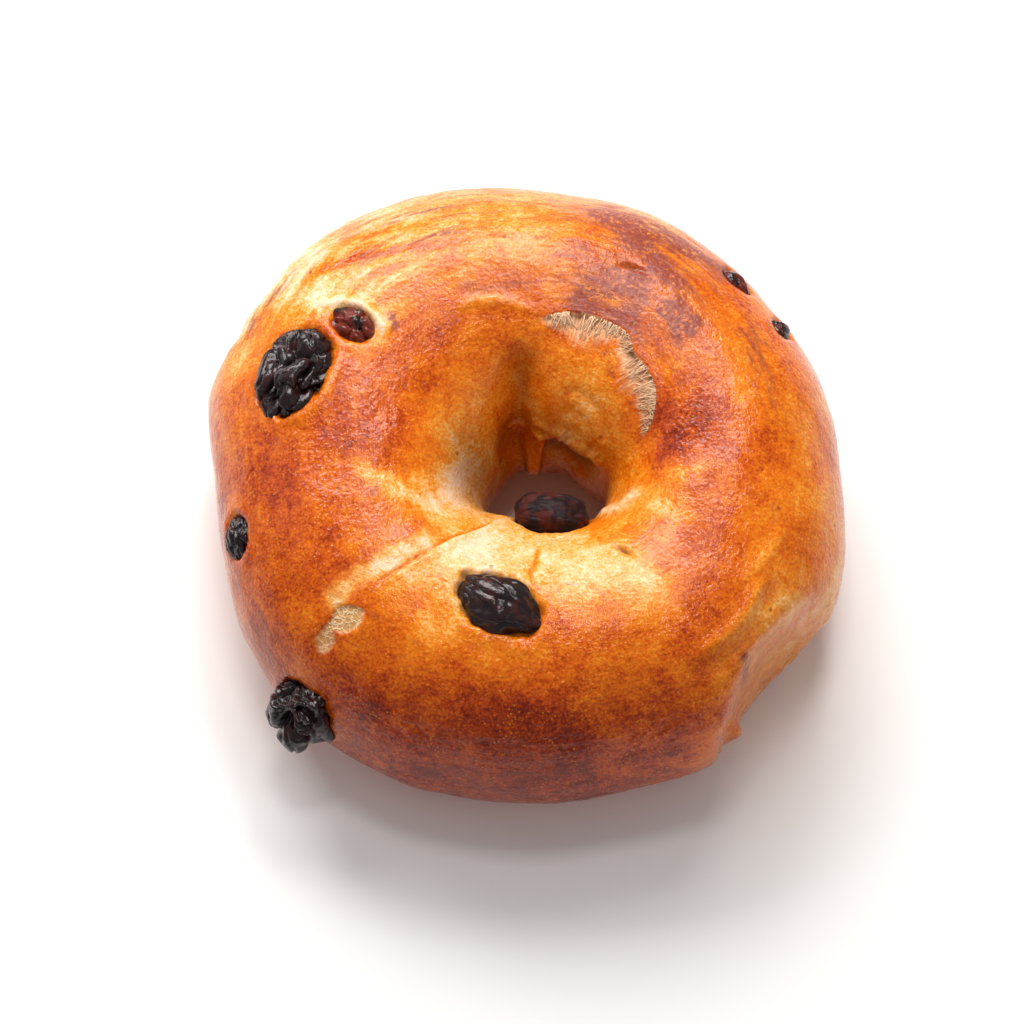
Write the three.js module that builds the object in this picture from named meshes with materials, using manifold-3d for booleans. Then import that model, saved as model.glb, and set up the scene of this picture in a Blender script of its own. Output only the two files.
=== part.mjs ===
// A cinnamon raisin bagel: one baked ring of dough with raisins set in its crust.
// Millimetres, +Z up. The bagel rests on its flat base at z = 0.
import * as THREE from 'three';
import { mergeVertices } from 'three/addons/utils/BufferGeometryUtils.js';
import Module from 'manifold-3d';

const wasm = await Module();
wasm.setup();

// Ring of dough, seen from above: radii at equal bearings, counter-clockwise from +X.
const OUTLINE_RADII = [
  52.2, 53.0, 53.7, 55.0, 56.0, 58.4, 60.2, 57.7,
  51.8, 52.0, 52.5, 51.9, 51.3, 52.4, 56.0, 53.8,
];
const HOLE_RADII = [10.6, 7.4, 7.6, 6.6, 7.2, 6.7, 8.0, 10.2, 7.8, 8.2, 10.0, 11.4];
const HOLE_CENTRE = { x: 1.9, y: 1.5 };

// Section of the ring: a rounded crown above the widest line, and a base baked flat on the tray.
const HEIGHT = 40;
const CREST_DROP = 1.2;
const CREST_LOW_BEARING = 200;
const WIDEST_LEVEL = 0.45;
const CROWN_POWER = 0.95;
const BELLY_POWER = 0.8;
const BASE_OVERSHOOT = 3;

// Where the neighbouring bagels touched in the oven: one left a flat, the other a torn hollow.
const FLAT_BEARING = 142;
const FLAT_DISTANCE = 54.4;
const FLAT_BLEND = 0.4;
const TEAR_BEARING = -38.5;
const TEAR_DISTANCE = 90.2;
const TEAR_RADIUS = 42;
const TEAR_BLEND = 0.8;

// Folds of the shaped dough: a path over the surface, how far it reaches and how much it rises.
const FOLDS = [
  { path: [[5, 13, 33], [11, 10, 31]], reach: 7, rise: 2.2 },
  { path: [[-2, 19, 37], [-2, 14, 32], [-1, 9, 25]], reach: 3.5, rise: -3.2 },
  { path: [[-1, 23, 39], [10, 22, 39], [17, 19, 39], [20, 9, 38], [18, 3, 35]], reach: 2.5, rise: -1.6 },
  { path: [[-8, -13, 36], [-15, -20, 40], [-22, -25, 40], [-28, -27, 38]], reach: 3, rise: -1.2 },
];

// Section angle of the flat base.
const BASE = 270;
const BEARING_STEPS = 96;
const SECTION_STEPS = 30;

// Raisins: bearing and section angle where each sits, half axes (long, wide, thick), how deep
// its middle lies under the crust, and how far it is turned in the crust.
const RAISINS = [
  { name: 'raisin_upper_left', bearing: 160, section: 68, half: [8.1, 5.6, 4.4], sunk: 1.3, turn: 69 },
  { name: 'raisin_upper_left_small', bearing: 144, section: 82, half: [4.4, 3.3, 2.8], sunk: 1.8, turn: -35 },
  { name: 'raisin_left_side', bearing: 193, section: 29, half: [3.6, 3.1, 2.6], sunk: 1.2, turn: 90 },
  { name: 'raisin_lower_left', bearing: 226, section: 4, half: [6.2, 5.2, 4.6], sunk: -0.4, turn: 35 },
  { name: 'raisin_front_inner', bearing: 258, section: 93, half: [7.0, 4.5, 3.6], sunk: 0.9, turn: -32 },
  { name: 'raisin_in_hole', bearing: 277, section: 154, half: [5.9, 4.3, 3.6], sunk: -1.9, turn: -14 },
  { name: 'raisin_right_edge', bearing: 31, section: 36, half: [2.4, 1.9, 1.8], sunk: 1.0, turn: 60 },
  { name: 'raisin_right_rim', bearing: 44, section: 41, half: [3.0, 2.1, 2.0], sunk: 1.1, turn: -40 },
  { name: 'raisin_back_side', bearing: 98, section: 345, half: [5.6, 4.2, 3.4], sunk: 2.0, turn: 20 },
  { name: 'raisin_right_side', bearing: 8, section: 336, half: [4.8, 3.8, 3.2], sunk: 2.0, turn: 75 },
  { name: 'raisin_back_right', bearing: 62, section: 352, half: [5.0, 3.8, 3.2], sunk: 2.0, turn: 10 },
  { name: 'raisin_base_left', bearing: 188, section: BASE, half: [5.4, 4.0, 3.4], sunk: 2.2, turn: 30 },
  { name: 'raisin_base_front', bearing: 292, section: BASE, half: [4.6, 3.6, 3.0], sunk: 2.0, turn: 100 },
];
const RAISIN_DETAIL = 3;
const RAISIN_FOLD = 0.12;
const POCKET_GAP = 0.4;
const TRAY_CLEARANCE = 0.25;

const UP = new THREE.Vector3(0, 0, 1);

function closedOutline(radii, centre) {
  const points = radii.map((radius, i) => {
    const bearing = (i / radii.length) * 2 * Math.PI;
    return new THREE.Vector3(
      centre.x + radius * Math.cos(bearing),
      centre.y + radius * Math.sin(bearing),
      0,
    );
  });
  return new THREE.CatmullRomCurve3(points, true, 'catmullrom', 0.5);
}

const outline = closedOutline(OUTLINE_RADII, { x: 0, y: 0 });
const hole = closedOutline(HOLE_RADII, HOLE_CENTRE);
const folds = FOLDS.map(({ path, reach, rise }) => {
  const points = path.map((point) => new THREE.Vector3(...point));
  const curve = new THREE.CatmullRomCurve3(points);
  return { points: curve.getPoints(8 * path.length), reach, rise };
});

// A smooth limit: value where it is well above the floor, and the floor where it is well below.
function roundedFloor(value, floor, blend) {
  return floor + blend * Math.log1p(Math.exp((value - floor) / blend));
}

function pressFlat(point) {
  const bearing = THREE.MathUtils.degToRad(FLAT_BEARING);
  const outward = new THREE.Vector3(Math.cos(bearing), Math.sin(bearing), 0);
  const reach = point.dot(outward);
  const pressed = -roundedFloor(-reach, -FLAT_DISTANCE, FLAT_BLEND);
  return point.addScaledVector(outward, pressed - reach);
}

function tearHollow(point) {
  const bearing = THREE.MathUtils.degToRad(TEAR_BEARING);
  const neighbour = new THREE.Vector3(
    TEAR_DISTANCE * Math.cos(bearing),
    TEAR_DISTANCE * Math.sin(bearing),
    point.z,
  );
  const away = point.clone().sub(neighbour);
  away.setLength(roundedFloor(away.length(), TEAR_RADIUS, TEAR_BLEND));
  return neighbour.add(away);
}

// The plain ring at a bearing and a section angle, both as a share of a full turn.
function ringPoint(bearingShare, sectionShare) {
  const section = sectionShare * 2 * Math.PI;
  const outer = outline.getPoint(bearingShare);
  const inner = hole.getPoint(bearingShare);
  const point = inner.lerp(outer, (1 + Math.cos(section)) / 2);

  const lowBearing = THREE.MathUtils.degToRad(CREST_LOW_BEARING);
  const crest = HEIGHT - CREST_DROP * (1 + Math.cos(bearingShare * 2 * Math.PI - lowBearing)) / 2;
  const widest = WIDEST_LEVEL * crest;
  const lift = Math.abs(Math.sin(section));
  if (Math.sin(section) > 0) {
    point.z = widest + (crest - widest) * lift ** CROWN_POWER;
  } else {
    point.z = Math.max(0, widest - (widest + BASE_OVERSHOOT) * lift ** BELLY_POWER);
  }
  return tearHollow(pressFlat(point));
}

function outwardAt(bearingShare, sectionShare) {
  const step = 0.004;
  const along = ringPoint(bearingShare + step, sectionShare);
  along.sub(ringPoint(bearingShare + 1 - step, sectionShare));
  const around = ringPoint(bearingShare, sectionShare + step);
  around.sub(ringPoint(bearingShare, sectionShare - step));
  return along.cross(around).normalize();
}

function foldRise(point) {
  let total = 0;
  for (const { points, reach, rise } of folds) {
    const nearest = Math.min(...points.map((foldPoint) => foldPoint.distanceTo(point)));
    total += rise * Math.exp(-((nearest / reach) ** 2));
  }
  return total;
}

function doughGeometry() {
  const geometry = new THREE.TorusGeometry(2, 1, SECTION_STEPS, BEARING_STEPS);
  const { position, uv } = geometry.attributes;
  for (let i = 0; i < position.count; i += 1) {
    const bearingShare = uv.getX(i) % 1;
    const sectionShare = uv.getY(i) % 1;
    const point = ringPoint(bearingShare, sectionShare);
    if (point.z > 0) {
      point.addScaledVector(outwardAt(bearingShare, sectionShare), foldRise(point));
    }
    position.setXYZ(i, point.x, point.y, point.z);
  }
  return geometry;
}

function raisinGeometry(half) {
  const geometry = new THREE.IcosahedronGeometry(1, RAISIN_DETAIL);
  const { position } = geometry.attributes;
  const point = new THREE.Vector3();
  for (let i = 0; i < position.count; i += 1) {
    point.fromBufferAttribute(position, i);
    const fold = Math.abs(Math.sin(3 * point.x + 4 * point.y) * Math.cos(3 * point.z + 2 * point.x));
    point.multiplyScalar(1 - RAISIN_FOLD * fold);
    position.setXYZ(i, point.x * half[0], point.y * half[1], point.z * half[2]);
  }
  return geometry;
}

function placeInCrust(mesh, raisin) {
  const bearingShare = raisin.bearing / 360;
  const sectionShare = raisin.section / 360;
  const outward = outwardAt(bearingShare, sectionShare);
  const turn = new THREE.Quaternion();
  turn.setFromAxisAngle(UP, THREE.MathUtils.degToRad(raisin.turn));
  mesh.position.copy(ringPoint(bearingShare, sectionShare));
  mesh.position.addScaledVector(outward, -raisin.sunk);
  mesh.quaternion.setFromUnitVectors(UP, outward).multiply(turn);
}

function weld(geometry) {
  const bare = geometry.clone();
  bare.deleteAttribute('normal');
  bare.deleteAttribute('uv');
  return mergeVertices(bare, 1e-4);
}

function toSolid(geometry) {
  const { index, attributes } = weld(geometry);
  const mesh = new wasm.Mesh({
    numProp: 3,
    vertProperties: new Float32Array(attributes.position.array),
    triVerts: new Uint32Array(index.array),
  });
  return new wasm.Manifold(mesh);
}

function toGeometry(solid) {
  const { vertProperties, triVerts } = solid.getMesh();
  const geometry = new THREE.BufferGeometry();
  geometry.setAttribute('position', new THREE.BufferAttribute(new Float32Array(vertProperties), 3));
  geometry.setIndex(new THREE.BufferAttribute(new Uint32Array(triVerts), 1));
  geometry.computeVertexNormals();
  return geometry;
}

// Raisins that baked against the tray are flat there, just clear of the surface below.
function flattenOnTray(geometry, raisin) {
  const lowest = raisin.sunk - TRAY_CLEARANCE;
  const { position } = geometry.attributes;
  for (let i = 0; i < position.count; i += 1) {
    position.setZ(i, Math.min(position.getZ(i), lowest));
  }
}

function makeRaisin(raisin) {
  const material = new THREE.MeshStandardMaterial({ color: 0x23151a, roughness: 0.45, metalness: 0 });
  const geometry = raisinGeometry(raisin.half);
  if (raisin.section === BASE) {
    flattenOnTray(geometry, raisin);
  }
  const mesh = new THREE.Mesh(weld(geometry), material);
  mesh.geometry.computeVertexNormals();
  mesh.name = raisin.name;
  placeInCrust(mesh, raisin);
  return mesh;
}

// The hollow that a raisin leaves in the dough: its own shape, a little larger all round.
function raisinPocket(raisin) {
  const pocket = new THREE.Object3D();
  placeInCrust(pocket, raisin);
  pocket.updateMatrix();
  const geometry = raisinGeometry(raisin.half.map((length) => length + POCKET_GAP));
  return toSolid(geometry.applyMatrix4(pocket.matrix));
}

function makeDough() {
  let solid = toSolid(doughGeometry());
  for (const raisin of RAISINS) {
    solid = solid.subtract(raisinPocket(raisin));
  }
  const material = new THREE.MeshStandardMaterial({ color: 0xc9752a, roughness: 0.5, metalness: 0 });
  const mesh = new THREE.Mesh(toGeometry(solid), material);
  mesh.name = 'bagel_dough';
  return mesh;
}

const bagel = new THREE.Group();
bagel.add(makeDough());
for (const raisin of RAISINS) {
  bagel.add(makeRaisin(raisin));
}

// Centre the bagel over the origin, base at z = 0.
const box = new THREE.Box3().setFromObject(bagel);
const middle = box.getCenter(new THREE.Vector3());
bagel.position.set(-middle.x, -middle.y, -box.min.z);
bagel.updateMatrixWorld(true);

export default bagel;
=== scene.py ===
import math
import bmesh
import bpy
import numpy as np
from mathutils import Matrix, Vector, noise


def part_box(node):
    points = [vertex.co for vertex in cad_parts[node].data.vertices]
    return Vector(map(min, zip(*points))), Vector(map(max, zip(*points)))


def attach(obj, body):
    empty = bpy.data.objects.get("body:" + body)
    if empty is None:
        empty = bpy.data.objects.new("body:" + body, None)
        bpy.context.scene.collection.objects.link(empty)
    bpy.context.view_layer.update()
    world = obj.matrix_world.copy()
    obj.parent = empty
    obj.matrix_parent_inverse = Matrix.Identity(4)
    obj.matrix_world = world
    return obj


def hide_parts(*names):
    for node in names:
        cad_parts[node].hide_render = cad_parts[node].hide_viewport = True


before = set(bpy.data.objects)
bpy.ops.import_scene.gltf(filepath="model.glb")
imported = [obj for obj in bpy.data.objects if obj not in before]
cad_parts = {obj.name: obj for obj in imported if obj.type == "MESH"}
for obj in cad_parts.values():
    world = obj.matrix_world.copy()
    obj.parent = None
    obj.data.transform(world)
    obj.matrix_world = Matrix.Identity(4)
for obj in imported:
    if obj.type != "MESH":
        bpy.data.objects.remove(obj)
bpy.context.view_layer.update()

# --- The ring of dough -----------------------------------------------------------------------
# One rope of sweet cinnamon dough, wound into a ring, its ends pressed together, then boiled and
# baked to a glossy brown crust. It is one piece, worked out in millimetres about its own middle
# and laid over the frame's dough.
MM = 0.001

# Radii stand at equal steps round the ring, from the right. Other sizes are in millimetres too.
OUTLINE_RADII = [52.2, 53.0, 53.7, 55.0, 56.0, 58.4, 60.2, 57.7,
                 51.8, 52.0, 52.5, 51.9, 51.3, 52.4, 56.0, 53.8]
HOLE_RADII = [10.6, 7.4, 7.6, 6.6, 7.2, 6.7, 8.0, 10.2, 7.8, 8.2, 10.0, 11.4]
HOLE_MIDDLE = (1.9, 1.5)
HEIGHT = 40.0
CREST_DROP = 1.2
CREST_LOW_BEARING = math.radians(200)
WIDEST_LEVEL = 0.45
FLAT_BEARING, FLAT_DISTANCE, FLAT_BLEND = math.radians(142), 54.4, 0.4
TEAR_BEARING, TEAR_DISTANCE = math.radians(-38.5), 90.2
TEAR_RADIUS, TEAR_BLEND = 42.0, 0.8


def through(values, share):
    """A smooth closed run through equally spaced values, read at a share of a full turn."""
    values = np.asarray(values, float)
    count = len(values)
    place = (share % 1) * count
    at = np.floor(place).astype(int)
    part = place - at
    before, here = values[(at - 1) % count], values[at % count]
    after, beyond = values[(at + 1) % count], values[(at + 2) % count]
    bend = 2 * before - 5 * here + 4 * after - beyond
    twist = 3 * here - before - 3 * after + beyond
    return 0.5 * (2 * here + (after - before) * part + bend * part ** 2 + twist * part ** 3)


def closed_outline(radii, middle, share):
    """A closed line seen from above, given by its radii about a middle."""
    turn = np.arange(len(radii)) / len(radii) * 2 * np.pi
    x = middle[0] + through(np.cos(turn) * radii, share)
    y = middle[1] + through(np.sin(turn) * radii, share)
    return x, y


def rounded_floor(value, floor, blend):
    """The value, but never under the floor, with a soft bend where it meets the floor."""
    return floor + blend * np.logaddexp(0, (value - floor) / blend)


def ring_points(bearing, section):
    """Points of the plain ring; bearing and section angle are shares of a full turn."""
    turn = section * 2 * np.pi
    outer_x, outer_y = closed_outline(OUTLINE_RADII, (0, 0), bearing)
    inner_x, inner_y = closed_outline(HOLE_RADII, HOLE_MIDDLE, bearing)
    outward = (1 + np.cos(turn)) / 2
    x = inner_x + (outer_x - inner_x) * outward
    y = inner_y + (outer_y - inner_y) * outward
    crest = HEIGHT - CREST_DROP * (1 + np.cos(bearing * 2 * np.pi - CREST_LOW_BEARING)) / 2
    widest = WIDEST_LEVEL * crest
    lift = np.abs(np.sin(turn))
    crown = widest + (crest - widest) * lift ** 0.95
    belly = np.maximum(0, widest - (widest + 3) * lift ** 0.8)
    z = np.where(np.sin(turn) > 0, crown, belly)

    # A neighbour in the oven pressed one side flat; another tore away and left a hollow.
    reach = x * math.cos(FLAT_BEARING) + y * math.sin(FLAT_BEARING)
    pressed = -rounded_floor(-reach, -FLAT_DISTANCE, FLAT_BLEND) - reach
    x = x + pressed * math.cos(FLAT_BEARING)
    y = y + pressed * math.sin(FLAT_BEARING)
    near_x = TEAR_DISTANCE * math.cos(TEAR_BEARING)
    near_y = TEAR_DISTANCE * math.sin(TEAR_BEARING)
    away = np.hypot(x - near_x, y - near_y)
    push = rounded_floor(away, TEAR_RADIUS, TEAR_BLEND) / away
    return np.stack([near_x + (x - near_x) * push, near_y + (y - near_y) * push, z], -1)


def outward_at(bearing, section):
    """The way straight out of the plain ring's skin."""
    step = 0.004
    along = ring_points(bearing + step, section) - ring_points(bearing - step, section)
    around = ring_points(bearing, section + step) - ring_points(bearing, section - step)
    normal = np.cross(along, around)
    return normal / np.maximum(np.linalg.norm(normal, axis=-1, keepdims=True), 1e-9)


# The mesh is finest on the inner slope, where the dough is torn and folded. Each span of the
# section goes from one angle to the next in a number of steps: 0 is the outside, 90 the crest,
# 180 the wall of the hole and 270 the foot.
BEARINGS = 560
FIRST_TURN, LAST_TURN = -25, 335
SECTION_SPANS = [(FIRST_TURN, 60, 62), (60, 172, 108), (172, LAST_TURN, 44)]
section_turns = np.concatenate([
    np.linspace(first, last, steps, endpoint=False) for first, last, steps in SECTION_SPANS])
SECTIONS = len(section_turns)
grid_bearing, grid_section = np.meshgrid(
    np.arange(BEARINGS) / BEARINGS, section_turns / 360, indexing="ij")
grid_bearing, grid_section = grid_bearing.ravel(), grid_section.ravel()
plain = ring_points(grid_bearing, grid_section)
outward = outward_at(grid_bearing, grid_section)
outward[plain[:, 2] <= 0] = (0, 0, -1)

cad_low, cad_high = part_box("bagel_dough")
cad_middle = (Vector(cad_low) + Vector(cad_high)) / 2
own_middle = (plain.min(0) + plain.max(0)) / 2
TO_FRAME = np.array([cad_middle.x, cad_middle.y, 0])
TO_FRAME -= np.array([own_middle[0], own_middle[1], 0]) * MM


def to_frame(points):
    """Points of the ring, in millimetres, as metres in the frame."""
    return np.asarray(points) * MM + TO_FRAME


def grain(points, size, shift=0.0):
    """Soft natural unevenness from -1 to 1, with lumps of about the given size."""
    offset = Vector((shift, 1.7 * shift, -0.6 * shift))
    return np.array([noise.noise(Vector(p) / size + offset) for p in points])


def ease(value, start, end):
    """0 up to the start and 1 from the end on, with a smooth rise between them."""
    part = np.clip((value - start) / (end - start), 0, 1)
    return part * part * (3 - 2 * part)


def hill(value, reach):
    """1 at 0, falling off smoothly to either side."""
    return np.exp(-((value / reach) ** 2))


def smooth_line(stops, steps=10):
    """A smooth open line through a few stops seen from above."""
    stops = np.asarray(stops, float)
    padded = np.vstack([2 * stops[0] - stops[1], stops, 2 * stops[-1] - stops[-2]])
    line = []
    for i in range(1, len(padded) - 2):
        a, b, c, d = padded[i - 1:i + 3]
        for part in np.linspace(0, 1, steps, endpoint=False):
            line.append(0.5 * (2 * b + (c - a) * part + (2 * a - 5 * b + 4 * c - d) * part ** 2
                               + (3 * b - a - 3 * c + d) * part ** 3))
    line.append(stops[-1])
    return np.array(line)


def beside(points, line):
    """Distance from a line seen from above, share along it, and side: positive on its left."""
    best = np.full(len(points), 1e9)
    share = np.zeros(len(points))
    side = np.ones(len(points))
    lengths = np.concatenate([[0], np.cumsum(np.linalg.norm(np.diff(line, axis=0), axis=1))])
    for i in range(len(line) - 1):
        start, run = line[i], line[i + 1] - line[i]
        offset = points[:, :2] - start
        part = np.clip(offset @ run / (run @ run), 0, 1)
        gap = np.linalg.norm(offset - part[:, None] * run, axis=1)
        closer = gap < best
        best[closer] = gap[closer]
        along = (lengths[i] + part * (lengths[i + 1] - lengths[i])) / lengths[-1]
        share[closer] = along[closer]
        turned = run[0] * offset[:, 1] - run[1] * offset[:, 0]
        side[closer] = np.where(turned[closer] >= 0, 1.0, -1.0)
    return best, share, side


# Section angles past UNDER belong to the lower half. Top is 1 on the crown, and off_base is 0
# where the dough lies on the tray.
UNDER = 200
degrees = grid_section * 360
bearing_degrees = grid_bearing * 360
x, y, z = plain.T
top = ease(z, 12, 20) * np.where(degrees < UNDER, 1, 0)
off_base = ease(z, 0, 4)


def away_from(place):
    """Distance from a place seen from above."""
    return np.hypot(x - place[0], y - place[1])


# Streaks and wrinkles run round the ring: these coordinates are squeezed in that direction.
outline_steps = np.arange(FIRST_TURN, LAST_TURN + 1, 5)
outline = ring_points(np.full(len(outline_steps), 0.25), outline_steps / 360)
outline_length = np.concatenate([[0], np.cumsum(np.linalg.norm(np.diff(outline, axis=0), axis=1))])
span = np.interp(degrees, outline_steps, outline_length)
turn = grid_bearing * 2 * np.pi
SQUEEZED_RADIUS = 7
streak = np.stack([np.cos(turn) * SQUEEZED_RADIUS, np.sin(turn) * SQUEEZED_RADIUS, span], -1)

# Slow unevenness of a shaped and proved rope, small lumps of crumb under the crust, and fine
# wrinkles where the boiled skin shrank.
rise = off_base * (0.50 * grain(plain, 17, 3.1) + 0.20 * grain(plain, 6.5, 8.2))
rise += off_base * 0.07 * grain(plain, 2.4, 5.7)
wrinkled = np.abs(grain(streak, 1.6, 9.0) + 0.5 * grain(streak, 0.8, 4.0))
shrunk = 0.35 * ease(grain(plain, 14, 6.0), -0.1, 0.4) + ease(-y, 40, 47) + 0.5 * ease(y, 20, 34)
rise -= off_base * 0.14 * hill(wrinkled, 0.10) * np.clip(shrunk, 0, 1)

# The knob where one rope end was tucked under the other, and the deep fold beside it.
KNOB_PLACE, KNOB_REACH, KNOB_HEIGHT = (8, 12.5), 7.5, 2.2
knob = hill(away_from(KNOB_PLACE), KNOB_REACH) * top
rise += KNOB_HEIGHT * knob
FOLD = [(-2, 21), (-1.4, 17), (-1.4, 12), (-1.5, 7)]
fold_gap, fold_share, _ = beside(plain, smooth_line(FOLD))
fold = top * ease(fold_share, 0, 0.5)
rise -= fold * (2.8 * hill(fold_gap, 3.4) + 0.6 * hill(fold_gap, 1.2))
SWIRLS = [[(5, 14), (9, 13), (12, 9.5), (12.4, 6)], [(3.5, 12), (8, 11), (10.4, 8), (10.8, 5.5)]]
for stops in SWIRLS:
    swirl_gap, swirl_share, _ = beside(plain, smooth_line(stops))
    rise -= top * 0.28 * hill(swirl_gap, 0.55) * ease(swirl_share, 0, 0.3)

# Under the knob's lower lip the wall of the hole falls back, with a torn tooth of dough in it.
ragged = 2.5 * grain(plain, 2.6, 2.0) + 1.5 * grain(plain, 1.1, 3.0)
under_lip = ease(degrees + ragged, 162, 166) * ease(degrees, 186, 174)
under_lip *= ease(bearing_degrees, 8, 30) * ease(bearing_degrees, 122, 108)
rise -= 2.6 * under_lip
lip = hill(degrees + ragged - 160, 3.5) * ease(bearing_degrees, 2, 20) * ease(bearing_degrees, 108, 96)
rise += 0.9 * lip
TOOTH_BEARING, TOOTH_HEIGHT = 99, 2.4
tooth_width = np.interp(degrees, [160, 176, 190], [25.0, 18.0, 9.0])
tooth_away = np.abs(bearing_degrees - TOOTH_BEARING - 3 * grain(plain, 3, 7.0))
tooth = ease(tooth_away, tooth_width, 0.5 * tooth_width)
tooth *= ease(degrees, 160, 166) * ease(degrees + ragged, 194, 182)
rise += TOOTH_HEIGHT * tooth

# The arc where the crust tore over the knob: a sharp outer lip, deep against it, shallow inward.
TEAR_LIP = [(1.5, 23.6), (6.7, 24.4), (11.4, 23.2), (15.8, 20.6), (17.0, 17.2), (19.3, 13.8),
            (20.4, 10.6), (20.0, 6.4), (18.4, 3.4)]
TEAR_WIDTHS = [0.5, 3.0, 4.4, 2.6, 1.6, 3.8, 3.6, 2.4, 0.4]
tear_line = smooth_line(TEAR_LIP)
tear_steps = np.linalg.norm(np.diff(tear_line, axis=0), axis=1)
tear_length = tear_steps.sum()
tear_gap, tear_share, tear_side = beside(plain, tear_line)
tear_width = np.interp(tear_share, np.linspace(0, 1, len(TEAR_WIDTHS)), TEAR_WIDTHS)
tear_width *= 1 + 0.25 * grain(plain, 1.8, 12.0)
tear_across = tear_gap / tear_width
inside_tear = top * (tear_side < 0) * ease(tear_share, 0.0, 0.04) * ease(tear_share, 1.0, 0.96)
pull = np.stack([tear_share * tear_length / 0.32, tear_gap / 2.6, np.zeros(len(plain))], -1)
fibre = grain(pull, 1.0, 11.0)
tear_depth = ease(tear_gap, 0.0, 0.5) * np.clip(1 - tear_across, 0, 1) ** 1.2
rise -= inside_tear * tear_depth * (0.5 + 0.9 * np.maximum(0, grain(plain, 1.9, 11.0)) + 0.25 * fibre)
rise += 0.10 * inside_tear * fibre * ease(tear_across, 1.2, 0.8)
lip_raised = top * ease(tear_share, 0, 0.1) * ease(tear_share, 1, 0.9)
rise += 0.18 * lip_raised * (tear_side > 0) * hill(tear_gap, 1.0)
torn = inside_tear * ease(tear_across + 0.35 * fibre, 1.35, 0.5)
tear_shadow = inside_tear * ease(tear_gap + 0.7 * fibre, 1.3, 0.3) * ease(grain(plain, 2.2, 14.0), -0.5, 0.2)
tear_shadow = np.maximum(tear_shadow, 0.55 * torn * ease(tear_across + 0.3 * fibre, 0.8, 0.2))

# The seam where the rope's ends were pressed together, one lapped a little over the other.
SEAM = [(-6.2, -10.0), (-9.4, -12.9), (-12.5, -14.8), (-16.4, -18.0), (-20.4, -21.0), (-25.4, -24.6)]
seam_gap, seam_share, seam_side = beside(plain, smooth_line(SEAM))
seam = top * ease(seam_share, 1.0, 0.75)
rise -= 0.55 * seam * hill(seam_gap, 0.40)
rise += 0.40 * seam * (seam_side > 0) * hill(seam_gap, 2.2) * ease(seam_gap, 0, 0.4)
rise -= 0.30 * seam * (seam_side < 0) * hill(seam_gap, 2.6)

# Stretched skin with small pits beside the seam, and a net of open bubbles beyond its end.
POROUS = [(-13.5, -13.6), (-17.2, -16.2), (-22.3, -19.6), (-27.4, -22.6), (-30.6, -25.0)]
porous_gap, porous_share, _ = beside(plain, smooth_line(POROUS))
porous = top * ease(porous_gap + 0.8 * grain(plain, 1.7, 3.3), 2.9, 0.3) * ease(porous_share, 0, 0.25)
BUBBLE_PLACE, BUBBLE_RADIUS = (-18.6, -15.2), 0.8
bubble_ring = top * hill(away_from(BUBBLE_PLACE) - BUBBLE_RADIUS, 0.28)
rise += 0.15 * bubble_ring
NET_PLACE, NET_LENGTH, NET_WIDTH = (-29.2, -28.7), 2.9, 1.9
SMALL_NET_PLACE, SMALL_NET_RADIUS = (-32.4, -31.4), 1.7
edge_wander = 0.35 * grain(plain, 1.6, 1.2)
net_away = np.hypot((x - NET_PLACE[0]) / NET_LENGTH, (y - NET_PLACE[1]) / NET_WIDTH)
small_net_away = away_from(SMALL_NET_PLACE) / SMALL_NET_RADIUS
net = top * np.maximum(ease(net_away + edge_wander, 1.08, 0.92),
                       0.8 * ease(small_net_away + edge_wander, 1.1, 0.8))
rise -= 0.35 * net

# A stretched ridge above the torn hollow, and shallow creases and slits on the near slope.
RIDGE = [(36.9, -20.5), (35.6, -24.8), (33.4, -29.0), (29.3, -33.0), (23.4, -36.8)]
ridge_gap, ridge_share, ridge_side = beside(plain, smooth_line(RIDGE))
ridge = top * ease(ridge_share, 0, 0.2) * ease(ridge_share, 1, 0.7)
rise += 0.55 * ridge * hill(ridge_gap, 1.2)
rise -= 0.40 * ridge * (ridge_side > 0) * hill(ridge_gap - 2.5, 1.6)
CREASE = [(1.6, -15.0), (1.0, -18.9), (0.2, -22.0), (1.8, -26.7)]
crease_gap, crease_share, _ = beside(plain, smooth_line(CREASE))
crease = top * ease(crease_share, 0, 0.15) * ease(crease_share, 1, 0.7)
rise -= 0.25 * crease * hill(crease_gap, 0.5)
SLITS = [[(13.4, -16.2), (14.8, -17.2), (16.4, -18.4)], [(14.8, 33.2), (17.0, 32.8), (19.4, 31.6)]]
slit = np.zeros(len(plain))
for stops in SLITS:
    slit_gap, slit_share, _ = beside(plain, smooth_line(stops))
    slit = np.maximum(slit, top * hill(slit_gap, 0.38) * hill(slit_share - 0.5, 0.42))
rise -= 0.8 * slit
ROUGH_LIP = [(12.8, -6.1), (14.6, -7.3), (16.8, -5.8)]
rough_gap, _, _ = beside(plain, smooth_line(ROUGH_LIP))
rough_lip = top * hill(rough_gap, 1.3)
rise += 0.6 * rough_lip * (1 + 0.8 * grain(plain, 0.9, 6.1))

# Pulled fibres down the torn hollow, where the neighbouring bagel came away, and a torn spike.
from_x = x - TEAR_DISTANCE * math.cos(TEAR_BEARING)
from_y = y - TEAR_DISTANCE * math.sin(TEAR_BEARING)
hollow_away = np.hypot(from_x, from_y) - TEAR_RADIUS
hollow = ease(hollow_away, 3.4, 0.9) * off_base
hollow_turn = np.arctan2(from_y, from_x)
hollow_pull = np.stack([hollow_turn * TEAR_RADIUS / 0.9, z / 9, np.zeros(len(plain))], -1)
rise += hollow * (0.28 * grain(hollow_pull, 1.6, 4.0) + 0.16 * grain(hollow_pull, 0.6, 6.0))
SPIKE_PLACE, SPIKE_LEVEL, SPIKE_LENGTH = (33.6, -37.0), 8, 2.2
spike = hill(away_from(SPIKE_PLACE), 1.1) * hill(z - SPIKE_LEVEL, 4)
rise += SPIKE_LENGTH * spike
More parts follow.
